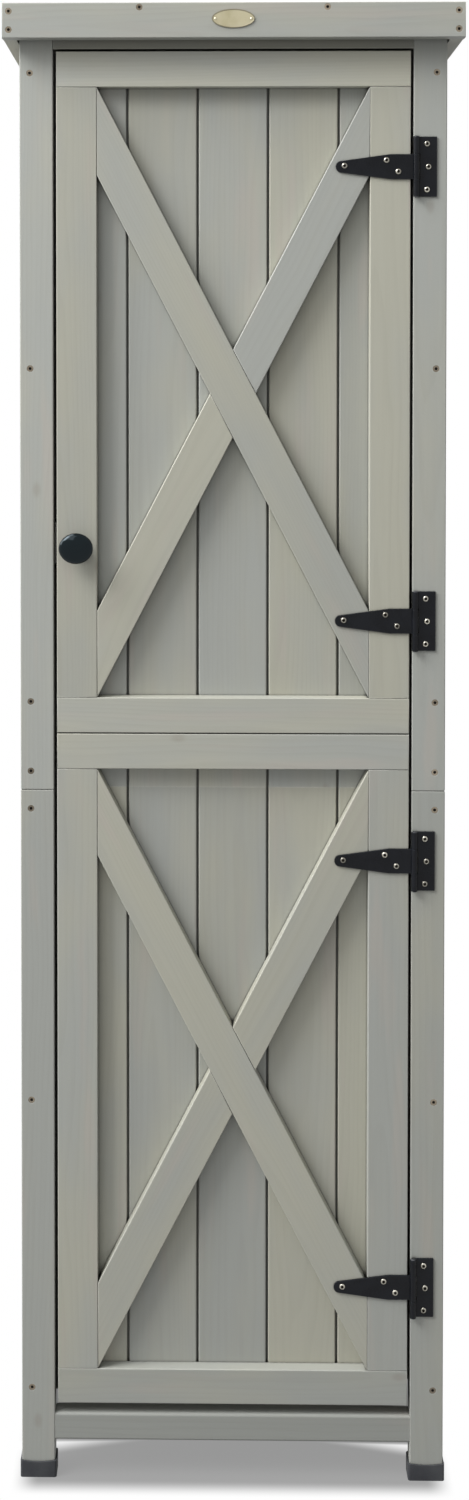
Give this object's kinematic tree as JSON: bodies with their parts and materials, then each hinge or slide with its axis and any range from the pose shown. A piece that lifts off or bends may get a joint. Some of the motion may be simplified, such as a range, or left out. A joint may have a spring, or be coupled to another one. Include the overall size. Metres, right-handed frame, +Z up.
{
  "type": "garden storage cabinet",
  "caption": "Tall narrow wooden garden cabinet with a lean-to roof, shelves, and a braced full-height door on T-hinges.",
  "frame": {"origin": "at floor level under the middle of the whole object, roof overhangs and the oval plate included", "axes": "+X to the right seen from the front, +Y from the door to the back, +Z up"},
  "size_m": [0.552, 0.4598, 1.8],
  "materials": {
    "stained_wood": "grey-stained planed softwood, matt, fine upright grain, edges a little paler",
    "inner_wood": "grey-stained planed softwood inside the cabinet, matt",
    "hinge_black": "black stoved paint, satin, slightly uneven",
    "pin_steel": "black painted steel pin, bright where it runs",
    "knob_black": "black, low gloss",
    "foot_plastic": "dark grey moulded plastic, fine grain",
    "screw_zinc": "zinc-plated steel, dull, dark cross recess",
    "wood_screw": "yellow zinc, dulled to pinkish brown",
    "plate_brass": "satin brass, bare",
    "roof_felt": "dark mineral roofing felt, gritty",
    "catch_plastic": "off-white moulded plastic",
    "magnet_iron": "sintered magnet, dull grey",
    "strike_steel": "zinc-plated steel plate"
  },
  "bodies": {
    "cabinet": {"front_post_lower_left": "stained_wood", "front_post_upper_left": "stained_wood", "front_post_lower_right": "stained_wood", "front_post_upper_right": "stained_wood", "rear_post_left": "stained_wood", "rear_post_right": "stained_wood", "post_dowels": "inner_wood", "header_rail": "stained_wood", "sill_rail": "stained_wood", "rear_rails": "stained_wood", "side_rails_left": "stained_wood", "side_rails_right": "stained_wood", "side_boards_left": "stained_wood", "side_boards_right": "stained_wood", "back_boards": "stained_wood", "floor_boards": "inner_wood", "shelf_lower": "inner_wood", "shelf_middle": "inner_wood", "shelf_upper": "inner_wood", "shelf_cleats": "inner_wood", "door_stops": "inner_wood", "foot_caps": "foot_plastic", "post_screws": "wood_screw", "roof_fascia": "stained_wood", "fascia_screws": "wood_screw", "roof_side_trims": "stained_wood", "roof_boards": "stained_wood", "roof_rear_batten": "stained_wood", "roof_covering": "roof_felt", "nameplate": "plate_brass", "nameplate_nails": "plate_brass", "catch_housing": "catch_plastic", "catch_magnet": "magnet_iron", "catch_screws": "screw_zinc", "hinge_plate_bottom": "hinge_black", "hinge_plate_lower_middle": "hinge_black", "hinge_plate_upper_middle": "hinge_black", "hinge_plate_top": "hinge_black", "hinge_pins": "pin_steel", "hinge_plate_screws": "screw_zinc"},
    "door": {"door_rails_lower": "stained_wood", "door_stiles_lower": "stained_wood", "door_brace_long_lower": "stained_wood", "door_braces_short_lower": "stained_wood", "door_boards_lower": "stained_wood", "door_rails_upper": "stained_wood", "door_stiles_upper": "stained_wood", "door_brace_long_upper": "stained_wood", "door_braces_short_upper": "stained_wood", "door_boards_upper": "stained_wood", "door_joining_batten": "inner_wood", "catch_strike": "strike_steel", "hinge_strap_bottom": "hinge_black", "hinge_strap_lower_middle": "hinge_black", "hinge_strap_upper_middle": "hinge_black", "hinge_strap_top": "hinge_black", "hinge_strap_screws": "screw_zinc", "knob": "knob_black", "knob_screw": "screw_zinc"}
  },
  "joints": [
    {"name": "door_swing", "type": "hinge", "parent": "cabinet", "child": "door", "pos_m": [0.2206, -0.2043, 0.919], "axis": [0, 0, 1], "range_deg": [0, 175]}
  ]
}
